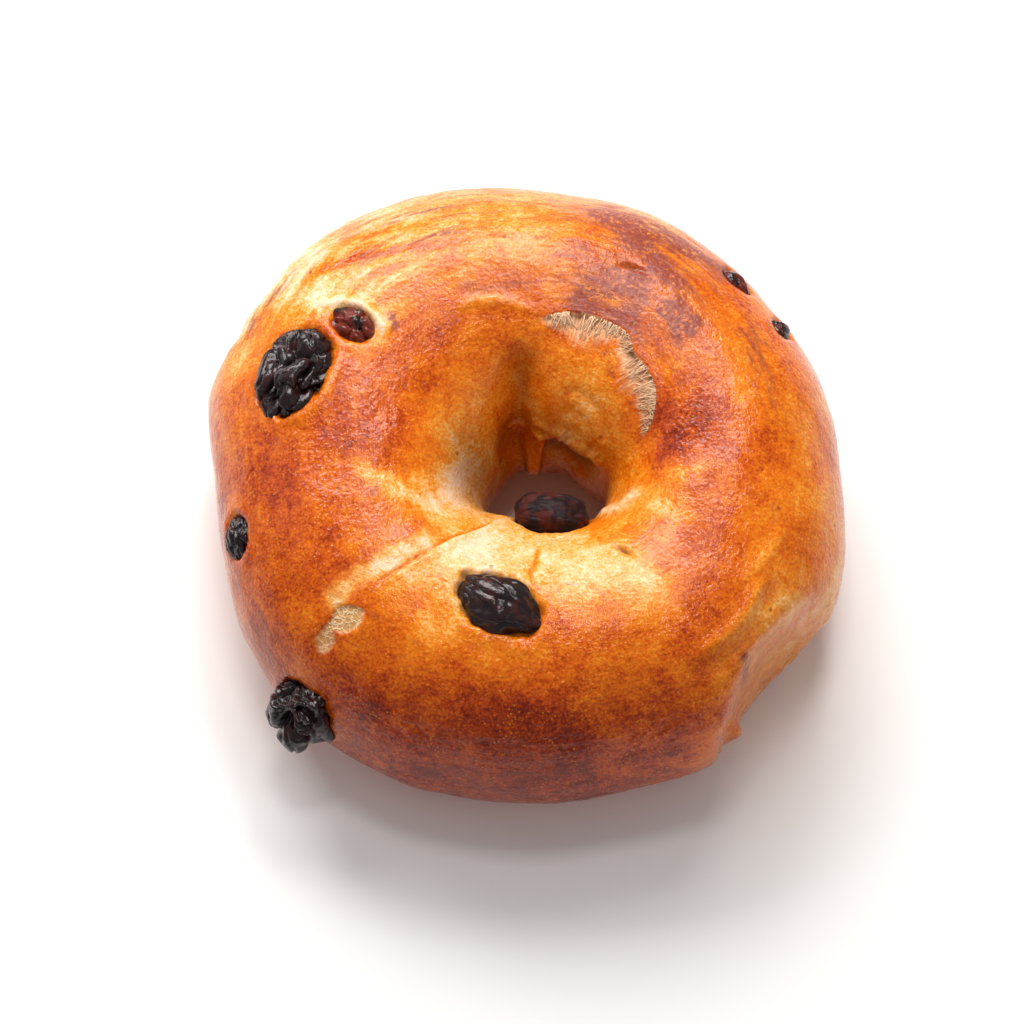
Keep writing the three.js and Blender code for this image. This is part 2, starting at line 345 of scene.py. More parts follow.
pulled = np.where((hollow > 0.2)[:, None], hollow_pull, pull)

# The pressed side kept its pale, scuffed skin, with a thin edge standing along it.
pressed_away = FLAT_DISTANCE - (x * math.cos(FLAT_BEARING) + y * math.sin(FLAT_BEARING))
pressed_edge = pressed_away + 1.3 * grain(plain, 6, 2.2) + 0.7 * grain(plain, 2.2, 3.4)
pressed_flat = ease(pressed_edge, 2.2, -0.2) * off_base
rise += pressed_flat * (0.22 * grain(plain, 1.2, 7.7) + 0.30 * grain(plain, 3.4, 6.6))
pressed_along = y * math.cos(FLAT_BEARING) - x * math.sin(FLAT_BEARING)
pressed_pull = np.stack([z / 1.6, pressed_along / 2.6, 0.6 * grain(plain, 2.5, 5.1)], -1)
pulled = np.where((pressed_flat > 0.02)[:, None], pressed_pull, pulled)

# A skin edge pulled up over the two raisins at the upper left.
SKIN_EDGE = [(-36.5, 25.5), (-31.8, 26.8), (-27.7, 25.6), (-24.4, 22.2), (-23.4, 19.6)]
edge_gap, edge_share, _ = beside(plain, smooth_line(SKIN_EDGE))
skin_edge = top * ease(edge_share, 0, 0.2) * ease(edge_share, 1, 0.85)
rise += 0.55 * skin_edge * hill(edge_gap, 1.1)

# The skin stands in a low fold round the big raisin and in a long one left of the tear.
FOLDS = [
    ([(-29.8, 19.4), (-30.9, 14.6), (-33.2, 9.2), (-37.2, 5.8), (-42.3, 7.4), (-45.5, 12.4)], 0.30),
    ([(2.3, 23.7), (-2.3, 25.9), (-8.2, 26.5), (-13.8, 24.4)], 0.35),
    ([(32.3, -23.9), (37.2, -19.3), (41.7, -11.9)], 0.25),
]
folded = np.zeros(len(plain))
for stops, height in FOLDS:
    gap, share, _ = beside(plain, smooth_line(stops))
    here = top * hill(gap + 0.4 * grain(plain, 2.2, 5.2), 1.0) * ease(share, 0, 0.25) * ease(share, 1, 0.75)
    rise += height * here
    folded = np.maximum(folded, here)

# Where each raisin sits in the crust, which shrank back from some of them in the oven: the angle
# round the ring and round its section, the raisin's half length, width and thickness, how far
# its middle lies under the skin, and its turn. Its exact middle comes from the frame's raisin.
SOCKETS = [
    dict(raisin="raisin_upper_left", bearing=160, section=68, half=(8.1, 5.6, 4.4), sunk=1.3, turn=69),
    dict(raisin="raisin_upper_left_small", bearing=144, section=82, half=(4.4, 3.3, 2.8), sunk=1.8, turn=-35),
    dict(raisin="raisin_left_side", bearing=193, section=29, half=(3.6, 3.1, 2.6), sunk=1.2, turn=90),
    dict(raisin="raisin_lower_left", bearing=226, section=4, half=(6.2, 5.2, 4.6), sunk=-0.4, turn=35),
    dict(raisin="raisin_front_inner", bearing=258, section=93, half=(7.0, 4.5, 3.6), sunk=0.9, turn=-32),
    dict(raisin="raisin_in_hole", bearing=277, section=154, half=(5.9, 4.3, 3.6), sunk=-1.9, turn=-14),
    dict(raisin="raisin_right_edge", bearing=31, section=36, half=(2.4, 1.9, 1.8), sunk=1.0, turn=60),
    dict(raisin="raisin_right_rim", bearing=44, section=41, half=(3.0, 2.1, 2.0), sunk=1.1, turn=-40),
    dict(raisin="raisin_back_side", bearing=98, section=345, half=(5.6, 4.2, 3.4), sunk=2.0, turn=20),
    dict(raisin="raisin_right_side", bearing=8, section=336, half=(4.8, 3.8, 3.2), sunk=2.0, turn=75),
    dict(raisin="raisin_back_right", bearing=62, section=352, half=(5.0, 3.8, 3.2), sunk=2.0, turn=10),
    dict(raisin="raisin_base_left", bearing=188, section=270, half=(5.4, 4.0, 3.4), sunk=2.2, turn=30),
    dict(raisin="raisin_base_front", bearing=292, section=270, half=(4.6, 3.6, 3.0), sunk=2.0, turn=100),
]
BASE = 270

for socket in SOCKETS:
    outward_here = outward_at(np.array([socket["bearing"] / 360]), np.array([socket["section"] / 360]))[0]
    facing = Vector((0, 0, 1)).rotation_difference(Vector(outward_here)).to_matrix()
    if socket["section"] == BASE:
        facing = Matrix.Rotation(math.pi, 3, "Y")
    socket["facing"] = facing @ Matrix.Rotation(math.radians(socket["turn"]), 3, "Z")
    low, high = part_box(socket["raisin"])
    middle = (Vector(low) + Vector(high)) / 2
    if socket["section"] == BASE:
        middle.z = socket["sunk"] * MM
    socket["middle"] = middle

# Each socket is pressed down under its raisin, with a low swollen rim round it.
RIM_HEIGHT, SOCKET_DEPTH = 0.20, 1.1
stain = np.zeros(len(plain))
rim_wander = 0.17 * grain(plain, 2.5, 9.9) + 0.09 * grain(plain, 1.0, 1.9)
for socket in SOCKETS:
    local = (plain - (np.array(socket["middle"]) - TO_FRAME) / MM) @ np.array(socket["facing"])
    long, wide, thick = socket["half"]
    waist = math.sqrt(1 - (socket["sunk"] / thick) ** 2)
    ring_gap = np.hypot(local[:, 0] / (long * waist), local[:, 1] / (wide * waist)) + rim_wander
    near = np.abs(local[:, 2] - socket["sunk"]) < thick + 1
    width = 1.0 / (wide * waist)
    if socket["section"] != BASE:
        rise += near * RIM_HEIGHT * hill(ring_gap - 1 - 1.6 * width, 1.1 * width)
    rise -= near * SOCKET_DEPTH * ease(ring_gap, 1.0 + 0.8 * width, 1.0 - 0.1 * width)
    stain = np.maximum(stain, near * ease(ring_gap, 1 + 0.45 * width, 1.0))

# Nothing reaches below the tray, and the pits in the flat foot are shallow ones.
dough_points = plain + outward * rise[:, None]
dough_points[:, 2] = np.maximum(dough_points[:, 2], 0)
on_tray = plain[:, 2] <= 0
dough_points[on_tray, 2] = np.maximum(-rise[on_tray], 0) * 0.4

# How dark each place is coloured, from 0 for pale dough to 1 for the darkest crust: darker towards the front
# foot of the ring, paler behind and in the hole, and dabs of more or less colour, each given by its place
# seen from above, its reach and its amount. The darkening towards the front foot, with the strong dab low on
# it, is partly painted shade. The paling behind is partly painted light. The rest is baked colour.
brown = np.full(len(plain), 0.58)
brown += 0.24 * ease(-y, 26, 47) * ease(z, 39, 29)
brown -= 0.14 * ease(y, 24, 44)
brown -= 0.20 * ease(degrees, 112, 150) * (degrees < UNDER)
DABS = [
    ((3, -19), 7, -0.36), ((-7, -17), 6, -0.34), ((-11, -22), 6, -0.24), ((12, -21), 6, -0.36),
    ((19, -25), 4, -0.26), ((22, -10), 5, -0.12), ((-4, -28), 6, -0.16), ((-12, -27), 5, -0.12),
    ((-14, -8), 6, -0.22), ((-18, -31), 5, -0.14), ((-14, 5), 5, -0.10), ((-39, 34), 11, -0.38),
    ((-20, 43), 9, -0.24), ((-4, 45), 9, -0.16), ((-27, 27), 5, -0.25), ((-24, 20), 3, -0.20),
    ((20, 46), 8, -0.08), ((43, 12), 8, -0.12), ((48, -8), 9, -0.14), ((27, -42), 5, -0.06),
    ((27, -19), 8, 0.08), ((12, 12), 5, -0.08), ((-10, -1), 5, -0.30), ((5, 15), 6, -0.06),
    ((-1, 10), 4, 0.10), ((-25, 3), 7, 0.14), ((-40, 0), 9, 0.12), ((-36, -14), 9, 0.12),
    ((-49, 19), 5, -0.25), ((-20, 20), 6, 0.06), ((-42, -30), 8, 0.10), ((26, 3.5), 6, 0.20),
    ((6, 19), 5, 0.06), ((2, -48), 8, 0.26), ((12, -41), 6, -0.12), ((-10, -41), 7, 0.06),
    ((-20, -20), 3, -0.14),
]
faint_under = np.where(degrees < UNDER, 1, 0.2)
for place, reach, amount in DABS:
    brown += amount * hill(away_from(place), reach) * faint_under
brown += 0.10 * grain(plain, 9, 1.0) + 0.10 * grain(plain, 3.5, 2.5) + 0.04 * grain(streak, 1.8, 2.0)
brown -= 0.14 * folded
STRETCHED_PLACE, STRETCHED_REACH = (-31, 35), 17
stretched = hill(away_from(STRETCHED_PLACE), STRETCHED_REACH) * faint_under
brown += stretched * (0.34 * grain(streak, 1.5, 2.7) + 0.16 * grain(streak, 0.6, 3.9))

# Paler or darker streaks where the skin was pulled thin or stayed thick as the rope was turned,
# each with its stops, its reach and its amount.
STREAKS = [
    ([(-31.0, 0.4), (-24.6, -5.3), (-16.6, -9.0), (-11.2, -12.8)], 1.1, -0.24),
    ([(-25.2, -4.0), (-20.8, -4.8), (-16.0, -4.5)], 0.8, -0.20),
    ([(20.4, -2.3), (25.8, -4.0), (32.2, -1.9)], 1.2, -0.20),
    ([(18.0, -7.3), (21.8, -10.9), (27.1, -13.0)], 1.0, -0.20),
    ([(18.2, -1.5), (21.9, -0.5), (24.9, 4.0)], 1.8, 0.18),
    ([(-40.5, 30.6), (-33.1, 34.0), (-23.0, 36.4), (-14.9, 36.8), (-8.2, 37.8)], 0.8, 0.26),
    ([(-38.2, 37.1), (-30.6, 40.0), (-21.6, 41.4), (-11.6, 43.7)], 0.7, 0.24),
]
streak_wander = 1.2 * grain(streak, 1.3, 8.0) + 0.6 * grain(plain, 1.6, 9.0)
for stops, reach, amount in STREAKS:
    gap, share, _ = beside(plain, smooth_line(stops))
    gap = np.maximum(0, gap + streak_wander * reach)
    brown += top * amount * hill(gap, 1.3 * reach) * ease(share, 0, 0.3) * ease(share, 1, 0.7)
brown -= 0.20 * seam * hill(seam_gap, 4.5) * (seam_side > 0)
brown += 0.20 * seam * hill(seam_gap, 0.30)
brown -= 0.52 * porous * (0.85 + 0.5 * grain(plain, 1.8, 4.1))
brown += 0.30 * crease * hill(crease_gap, 0.4)
# The ridge's crest is painted paler: a painted highlight along the step.
brown -= 0.12 * ridge * hill(ridge_gap, 0.7)
brown -= 0.20 * ease(hollow_away, 6, 0.8)
brown -= 0.32 * skin_edge * hill(edge_gap, 1.6)
brown -= pressed_flat * (0.28 + 0.24 * grain(plain, 5, 7.1) + 0.12 * grain(plain, 1.5, 2.9))
brown -= 0.30 * rough_lip
brown += 0.10 * lip_raised * (tear_side > 0) * hill(tear_gap, 1.5)
brown = np.where(degrees > UNDER, np.clip(brown, 0.35, 0.66), np.minimum(brown, 0.86))

# Cinnamon rolled into the dough shows as purple-red smears, given in the same way as the streaks.
# Wisps of it are all over the far side, and most at one patch behind the tear.
PATCH_PLACE, PATCH_REACH = (20, 27), 15
cinnamon = 0.10 + 0.32 * ease(y, 20, 42) * top + 0.50 * hill(away_from(PATCH_PLACE), PATCH_REACH)
SMEARS = [
    ([(7, 50.4), (18.5, 42.5), (31.6, 35), (37, 30)], 1.6, 1.0),
    ([(8, 48.2), (12.7, 44.2), (18.3, 37.2), (26.3, 26.2)], 1.5, 1.0),
    ([(20.7, 25.9), (24.5, 22.7), (28.2, 20.0)], 1.7, 2.4),
    ([(5, 31.6), (15, 28.6), (21.5, 25.1)], 2.6, 0.8),
    ([(32, 25.1), (36.1, 19.7), (38.9, 9), (37.5, 3.7)], 1.3, 0.7),
    ([(2.7, 26.2), (8.5, 25.8), (15.7, 22.6), (19.6, 17.6)], 1.0, 1.1),
    ([(-32, 32), (-24.4, 36), (-14.8, 39), (-1.4, 41.6)], 0.8, 0.5),
    ([(-48.3, 20.2), (-44.2, 28.5), (-38, 33.8)], 0.8, 0.6),
    ([(-28.4, 43.7), (-18.2, 45), (-8.2, 46.2), (2, 46.7)], 1.0, 0.45),
    ([(-14.7, 27.2), (-4.9, 29.4), (2.7, 27.6)], 1.3, 0.6),
    ([(-45.7, -21), (-42.8, -27), (-39.8, -32.5)], 1.8, 0.8),
    ([(-50, -6), (-49, -14), (-46, -21)], 2.0, 0.45),
    ([(-20.7, -46), (-8, -49.5), (6, -50.5)], 3.0, 0.5),
    ([(-26, -6.6), (-25, -7.6), (-24.4, -9)], 0.8, 1.0),
    ([(-22.7, 25.1), (-22.2, 22.4), (-21.4, 20.6)], 0.7, 1.5),
    ([(33.6, -32.5), (34.4, -35.5), (34, -37.8)], 0.9, 0.9),
]
smear_wander = 1.1 * grain(plain, 3.2, 15.0) + 0.8 * grain(streak, 1.4, 16.0)
for stops, reach, amount in SMEARS:
    gap, share, _ = beside(plain, smooth_line(stops))
    gap = np.maximum(0, gap + smear_wander * reach)
    ends = ease(share, 0, 0.3) * ease(share, 1, 0.7)
    cinnamon += amount * hill(gap, 1.3 * reach) * ends * ease(z + 3 * grain(plain, 4, 8.8), 12, 23)
cinnamon *= ease(degrees, 150, 120)

# Where torn crumb shows, where bubbles are open, and where painted shade darkens the skin: under the tear's
# lip and on its floor, in the slits, under the knob's lip, on the back wall of the hole, in the fold, on the
# inner left slope and at the foot of the mound.
lower_wall = ease(z + 2 * grain(hollow_pull, 0.5, 5.0), 8, 2)
crumb = np.clip(torn + 0.5 * hollow * lower_wall + 0.10 * pressed_flat + 0.5 * rough_lip, 0, 1)
openness = np.clip(0.22 * porous + net, 0, 1)
hole_wall_shade = ease(degrees, 152, 178) * ease(degrees, 215, 190) * ease(y, -5, 2)
shade = np.maximum(np.maximum(tear_shadow, slit), 0.9 * under_lip * (1 - tooth))
shade = np.maximum(shade, 0.5 * hole_wall_shade * (1 - 0.7 * tooth))
shade = np.maximum(shade, 0.40 * fold * hill(fold_gap, 2.2))
INNER_LEFT_SHADE_PLACE, INNER_LEFT_SHADE_REACH = (-9.5, 1.5), 7.5
inner_left_shade = hill(away_from(INNER_LEFT_SHADE_PLACE), INNER_LEFT_SHADE_REACH)
inner_left_shade = inner_left_shade * ease(degrees, 110, 144) * ease(degrees, 215, 190)
shade = np.maximum(shade, 0.72 * inner_left_shade)
mound_foot_shade = ease(degrees, 144, 162) * ease(degrees, 185, 168) * ease(y, 1, 6) * (1 - tooth)
shade = np.maximum(shade, 0.58 * mound_foot_shade)

# The skin is one closed grid of faces, unrolled for its textures over the lower part of a square;
# the strands share the strip above it.
faces = []
for i in range(BEARINGS):
    after = (i + 1) % BEARINGS
    for j in range(SECTIONS):
        above = (j + 1) % SECTIONS
        faces.append((i * SECTIONS + j, after * SECTIONS + j,
                      after * SECTIONS + above, i * SECTIONS + above))
corners = np.arange(BEARINGS * SECTIONS)
corner_u = corners // SECTIONS + np.array([[0], [1], [1], [0]])
corner_v = corners % SECTIONS + np.array([[0], [0], [1], [1]])
STRIP = 0.98
uvs = [np.stack([corner_u.T.ravel() / BEARINGS, corner_v.T.ravel() / SECTIONS * STRIP], -1)]

# Thin strands of dough still cross the tear, from under its lip to the torn slope. They stand in
# tufts, and each is a four-sided thread, thinner in the middle than at its ends.
STRANDS = 220
SIDES = 4
WAIST = [1.0, 0.7, 0.55, 0.65, 1.2]
draw = np.random.default_rng(5)
tufts = draw.uniform(0.05, 0.95, 26)
near_tear = np.flatnonzero((tear_gap < 7) & (top > 0))
lip_shares = np.concatenate([[0], np.cumsum(tear_steps)]) / tear_length


def level_at(spot):
    """Height of the skin near the tear at a spot seen from above."""
    away = np.hypot(*(dough_points[near_tear, :2] - spot).T)
    return dough_points[near_tear[np.argmin(away)], 2]


points = [dough_points]
for number in range(STRANDS):
    share = np.clip(draw.choice(tufts) + draw.normal(0, 0.03), 0.04, 0.96)
    on_lip = np.array([np.interp(share, lip_shares, tear_line[:, k]) for k in (0, 1)])
    ahead = np.array([np.interp(share + 0.01, lip_shares, tear_line[:, k]) for k in (0, 1)])
    run = (ahead - on_lip) / np.linalg.norm(ahead - on_lip)
    inward = np.array([run[1], -run[0]])
    reach = np.interp(share, np.linspace(0, 1, len(TEAR_WIDTHS)), TEAR_WIDTHS) * draw.uniform(0.45, 1.05)
    first = on_lip - inward * 0.1
    last = on_lip + inward * reach + run * draw.normal(0, 0.9)
    start = np.array([*first, level_at(on_lip - inward * 0.5) - draw.uniform(0.05, 0.4)])
    end = np.array([*last, level_at(last)])
    thickness = draw.uniform(0.04, 0.13)
    bow = draw.uniform(0.1, 0.5)
    sideways = np.array([*run, 0])
    upward = np.cross(end - start, sideways)
    upward /= np.linalg.norm(upward)
    first_corner = sum(len(part) for part in points)
    tube = []
    for k, waist in enumerate(WAIST):
        part = k / (len(WAIST) - 1)
        middle = start + (end - start) * part + np.array([0, 0, 4 * bow * part * (1 - part)])
        for side in range(SIDES):
            angle = side / SIDES * 2 * np.pi
            tube.append(middle + (sideways * np.cos(angle) + upward * np.sin(angle)) * thickness * waist)
    points.append(np.array(tube))
    for k in range(len(WAIST) - 1):
        for side in range(SIDES):
            corner = first_corner + k * SIDES
            beyond = (side + 1) % SIDES
            faces.append((corner + side, corner + beyond, corner + SIDES + beyond, corner + SIDES + side))
    last_corner = first_corner + (len(WAIST) - 1) * SIDES
    faces.append(tuple(first_corner + side for side in reversed(range(SIDES))))
    faces.append(tuple(last_corner + side for side in range(SIDES)))
    left, right = number / STRANDS, (number + 1) / STRANDS
    square = np.array([(left, STRIP), (right, STRIP), (right, 1), (left, 1)])
    uvs.append(np.tile(square, ((len(WAIST) - 1) * SIDES + 2, 1)))
strand_count = sum(len(part) for part in points[1:])


def with_strands(values, on_strands):
    """Values of the skin's corners, followed by one value for all corners of the strands."""
    return np.concatenate([values, np.full((strand_count,) + values.shape[1:], on_strands)])


dough_mesh = bpy.data.meshes.new("dough")
dough_mesh.from_pydata(to_frame(np.concatenate(points)).tolist(), [], faces)
dough_mesh.shade_smooth()
for name, values, on_strands in [("brown", brown, -0.04), ("cinnamon", cinnamon, 0), ("crumb", crumb, 0),
                                 ("openness", openness, 0), ("stain", stain, 0), ("shade", shade, 0)]:
    layer = dough_mesh.attributes.new(name, "FLOAT", "POINT")
    layer.data.foreach_set("value", with_strands(values, on_strands).astype(np.float32))
for name, values in [("streak", streak), ("pull", pulled)]:
    layer = dough_mesh.attributes.new(name, "FLOAT_VECTOR", "POINT")
    layer.data.foreach_set("vector", with_strands(values, 0.3).astype(np.float32).ravel())
uv_layer = dough_mesh.uv_layers.new(name="OFBake")
uv_layer.data.foreach_set("uv", np.concatenate(uvs).astype(np.float32).ravel())
dough = bpy.data.objects.new("baked_dough", dough_mesh)
bpy.context.scene.collection.objects.link(dough)


class Finish:
    """A node material put together from short calls."""

    def __init__(self, name):
        self.material = bpy.data.materials.new(name)
        self.material.use_nodes = True
        self.tree = self.material.node_tree
        self.shader = self.tree.nodes["Principled BSDF"]

    def node(self, kind, inputs=None, **settings):
        made = self.tree.nodes.new(kind)
        for key, value in settings.items():
            setattr(made, key, value)
        for key, value in (inputs or {}).items():
            self.feed(made.inputs[key], value)
        return made

    def feed(self, socket, value):
        """Link another node's output, or set a plain value."""
        if isinstance(value, bpy.types.NodeSocket):
            self.tree.links.new(value, socket)
        else:
            socket.default_value = value

    def attribute(self, name):
        return self.node("ShaderNodeAttribute", attribute_name=name)

    def math(self, operation, first, second=0.0, third=0.0, clamp=False):
        made = self.node("ShaderNodeMath", operation=operation, use_clamp=clamp)
        for socket, value in zip(made.inputs, (first, second, third)):
            self.feed(socket, value)
        return made.outputs[0]

    def ramp(self, value, stops):
        made = self.node("ShaderNodeValToRGB", {"Fac": value})
        elements = made.color_ramp.elements
        while len(elements) < len(stops):
            elements.new(0.5)
        for element, (place, colour) in zip(elements, stops):
            element.position = place
            element.color = (*colour, 1)
        return made.outputs["Color"]

    def step(self, value, start, end):
        """0 up to the start and 1 from the end on, as ease is for the mesh."""
        made = self.node("ShaderNodeMapRange", {0: value, 1: start, 2: end}, interpolation_type="SMOOTHSTEP")
        return made.outputs[0]

    def mix(self, factor, first, second):
        made = self.node("ShaderNodeMix", data_type="RGBA")
        factor_in, first_in, second_in = made.inputs[0], made.inputs[6], made.inputs[7]
        self.feed(factor_in, factor)
        for socket, colour in [(first_in, first), (second_in, second)]:
            self.feed(socket, colour if isinstance(colour, bpy.types.NodeSocket) else (*colour, 1))
        return made.outputs[2]

    def noise(self, where, size, detail=3.0, rough=0.5, stretch=0.0):
        made = self.node("ShaderNodeTexNoise", {"Vector": where, "Scale": 1 / size, "Detail": detail,
                                                "Roughness": rough, "Distortion": stretch})
        return made.outputs["Fac"]

    def cells(self, where, size, feature="F1"):
        made = self.node("ShaderNodeTexVoronoi", {"Vector": where, "Scale": 1 / size}, feature=feature)
        return made.outputs["Distance"]


crust = Finish("baked_crust")
place = crust.node("ShaderNodeTexCoord").outputs["Object"]
along = crust.attribute("streak").outputs["Vector"]
fibres = crust.attribute("pull").outputs["Vector"]

# Browning with its painted shade and light, broken up by blotches, veins, fine mottle and a grain that runs
# round the ring.
baked_and_shading = crust.attribute("brown").outputs["Fac"]
for unevenness, amount in [(crust.noise(place, 7 * MM, 4, 0.6), 0.34),
                           (crust.noise(place, 2.4 * MM, 4, 0.65, 0.9), 0.50),
                           (crust.noise(place, 0.9 * MM, 3, 0.6), 0.28),
                           (crust.noise(place, 0.45 * MM, 2, 0.6), 0.46),
                           (crust.noise(along, 1.5, 4, 0.6), 0.16)]:
    baked_and_shading = crust.math("MULTIPLY_ADD", crust.math("SUBTRACT", unevenness, 0.5), amount, baked_and_shading)
PALE_TO_BROWN = [
    (0.00, (0.92, 0.64, 0.42)), (0.14, (0.90, 0.50, 0.20)), (0.28, (0.84, 0.33, 0.038)),
    (0.42, (0.77, 0.200, 0.006)), (0.58, (0.65, 0.120, 0.002)), (0.73, (0.46, 0.055, 0.001)),
    (0.86, (0.27, 0.021, 0.001)), (1.00, (0.12, 0.008, 0.001)),
]
colour = crust.ramp(baked_and_shading, PALE_TO_BROWN)

# Cinnamon smears, purple-red, breaking up into streaks at their edges.
CINNAMON = (0.27, 0.045, 0.024)
swirl = crust.math("SUBTRACT", crust.noise(along, 1.3, 5, 0.65, 0.4), 0.5)
swirl = crust.math("MULTIPLY_ADD", swirl, 3.0, crust.attribute("cinnamon").outputs["Fac"])
swirl = crust.step(swirl, 0.20, 1.45)
swirl = crust.math("MULTIPLY", swirl, crust.step(crust.noise(place, 0.8 * MM, 3, 0.6), 0.22, 0.52))
colour = crust.mix(swirl, colour, CINNAMON)

# Tiny pale dots all over the boiled skin: blisters, and painted glints of light.
BLISTER_AND_GLINT = (0.90, 0.36, 0.035)
dots = crust.cells(place, 0.72 * MM)
dots = crust.step(dots, 0.30, 0.14)
dots = crust.math("MULTIPLY", dots, crust.step(crust.noise(place, 2.2 * MM, 2), 0.40, 0.60))
colour = crust.mix(crust.math("MULTIPLY", dots, 0.42), colour, BLISTER_AND_GLINT)

# Scattered grains of cinnamon under the skin.
CINNAMON_GRAIN = (0.24, 0.045, 0.020)
grains = crust.step(crust.cells(place, 5.5 * MM), 0.085, 0.05)
colour = crust.mix(crust.math("MULTIPLY", grains, 0.7), colour, CINNAMON_GRAIN)

# Torn crumb is pale and stringy. The open net has pale walls round tan cells.
TAN_STRING, PALE_STRING = (0.66, 0.29, 0.110), (1.00, 0.58, 0.32)
CELL_WALL, DEEP_CELL, SHALLOW_CELL = (0.80, 0.56, 0.31), (0.50, 0.22, 0.060), (0.76, 0.41, 0.16)
crumb_here = crust.attribute("crumb").outputs["Fac"]
open_here = crust.attribute("openness").outputs["Fac"]
strings = crust.step(crust.noise(fibres, 1.0, 3, 0.6), 0.36, 0.62)
pale = crust.mix(strings, TAN_STRING, PALE_STRING)
warp = crust.node("ShaderNodeTexNoise", {"Vector": place, "Scale": 1 / (1.2 * MM), "Detail": 2.0})
warp = warp.outputs["Color"]
warp_reach = (1.4 * MM, 1.4 * MM, 1.4 * MM)
warped = crust.node("ShaderNodeVectorMath", {0: warp, 1: warp_reach, 2: place}, operation="MULTIPLY_ADD")
holes = crust.cells(warped.outputs[0], 1.15 * MM, "DISTANCE_TO_EDGE")
holes = crust.step(holes, 0.01, 0.15)
cell_floor = crust.mix(crust.noise(place, 0.5 * MM, 3), DEEP_CELL, SHALLOW_CELL)
holed = crust.mix(holes, CELL_WALL, cell_floor)
colour = crust.mix(crumb_here, colour, pale)
colour = crust.mix(open_here, colour, holed)

# Painted shade darkens the tear, the slits, the fold and the hollows of the hole, and each raisin stained the
# dough round it.
DEEP_SHADE, RAISIN_STAIN = (0.10, 0.026, 0.008), (0.12, 0.032, 0.012)
shaded = crust.attribute("shade").outputs["Fac"]
colour = crust.mix(crust.math("MULTIPLY", shaded, 0.85), colour, DEEP_SHADE)
stained = crust.attribute("stain").outputs["Fac"]
colour = crust.mix(crust.math("MULTIPLY", stained, 0.55), colour, RAISIN_STAIN)
crust.feed(crust.shader.inputs["Base Color"], colour)

# The boiled skin is glossy over fine wrinkles; torn crumb is dull.
dull = crust.math("MAXIMUM", crumb_here, open_here)
gloss = crust.math("MULTIPLY_ADD", crust.noise(place, 2.4 * MM, 4), 0.22, 0.03)
gloss = crust.math("MULTIPLY_ADD", swirl, 0.20, gloss)
gloss = crust.math("MULTIPLY_ADD", dull, 0.35, gloss)
crust.feed(crust.shader.inputs["Roughness"], gloss)
crust.shader.inputs["Specular IOR Level"].default_value = 0.30
wrinkle = crust.noise(along, 0.55, 3, 0.55)
pebble = crust.noise(place, 0.66 * MM, 2, 0.5)
lumps = crust.noise(place, 1.4 * MM, 3, 0.5)
relief = crust.math("MULTIPLY", wrinkle, 0.45)
relief = crust.math("MULTIPLY_ADD", pebble, 1.0, relief)
relief = crust.math("MULTIPLY_ADD", lumps, 1.0, relief)
relief = crust.math("MULTIPLY_ADD", dots, 0.25, relief)
relief = crust.math("MULTIPLY_ADD", crust.math("MULTIPLY", strings, crumb_here), 0.8, relief)
relief = crust.math("MULTIPLY_ADD", crust.math("MULTIPLY", holes, open_here), -1.2, relief)
bump = crust.node("ShaderNodeBump", {"Height": relief, "Strength": 0.50, "Distance": 0.26 * MM})
crust.feed(crust.shader.inputs["Normal"], bump.outputs[0])
dough_mesh.materials.append(crust.material)

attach(dough, "root")
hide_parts("bagel_dough")


# --- Raisins ---------------------------------------------------------------------------------
# Dark raisins kneaded into the dough before it was shaped: grapes dried to flattened ovals, whose
# skin drew in between rounded swellings. The crust baked round them and holds each in its socket.

# Stretch draws the folds out along the raisin, point narrows its ends, depth is that of the folds, lumpy is
# for an uneven body, red for a thin skin that lets light through, and bloom_and_sheen for a blue-grey dust on
# the swellings that partly paints their sheen.
USUAL_LOOKS = dict(stretch=0.8, point=0.1, lumpy=0.16, dullness=0.05, shine=0.38)
RAISIN_LOOKS = {
    "raisin_upper_left": dict(depth=0.9, bloom_and_sheen=0.2, red=0.15),
    "raisin_upper_left_small": dict(depth=0.8, bloom_and_sheen=0.0, red=1.0),
    "raisin_left_side": dict(depth=0.8, bloom_and_sheen=0.2, red=0.1),
    "raisin_lower_left": dict(depth=0.75, bloom_and_sheen=0.15, red=0.1, point=0.0, lumpy=0.46, dullness=0.04),
    "raisin_front_inner": dict(depth=0.22, bloom_and_sheen=0.15, red=0.20, point=0.35, stretch=0.5),
    "raisin_in_hole": dict(depth=0.20, bloom_and_sheen=0.0, red=0.35, point=-0.1, stretch=0.3, lumpy=0.10,
                           dullness=0.42, shine=0.16),
    "raisin_right_edge": dict(depth=0.7, bloom_and_sheen=0.0, red=0.5),
    "raisin_right_rim": dict(depth=0.7, bloom_and_sheen=0.0, red=0.7, point=0.2),
    "raisin_back_side": dict(depth=0.9, bloom_and_sheen=0.2, red=0.2, stretch=0.6),
    "raisin_right_side": dict(depth=0.9, bloom_and_sheen=0.2, red=0.3, stretch=0.7),
    "raisin_back_right": dict(depth=0.9, bloom_and_sheen=0.2, red=0.2, stretch=0.6),
    "raisin_base_left": dict(depth=0.6, bloom_and_sheen=0.1, red=0.4),
    "raisin_base_front": dict(depth=0.6, bloom_and_sheen=0.1, red=0.4),
}
BLACK_SKIN, BROWN_SKIN = (0.006, 0.003, 0.004), (0.022, 0.009, 0.010)
RED_SKIN = (0.17, 0.022, 0.012)
BLOOM_AND_SHEEN = (0.055, 0.060, 0.078)
TRAY_CLEARANCE = 0.25


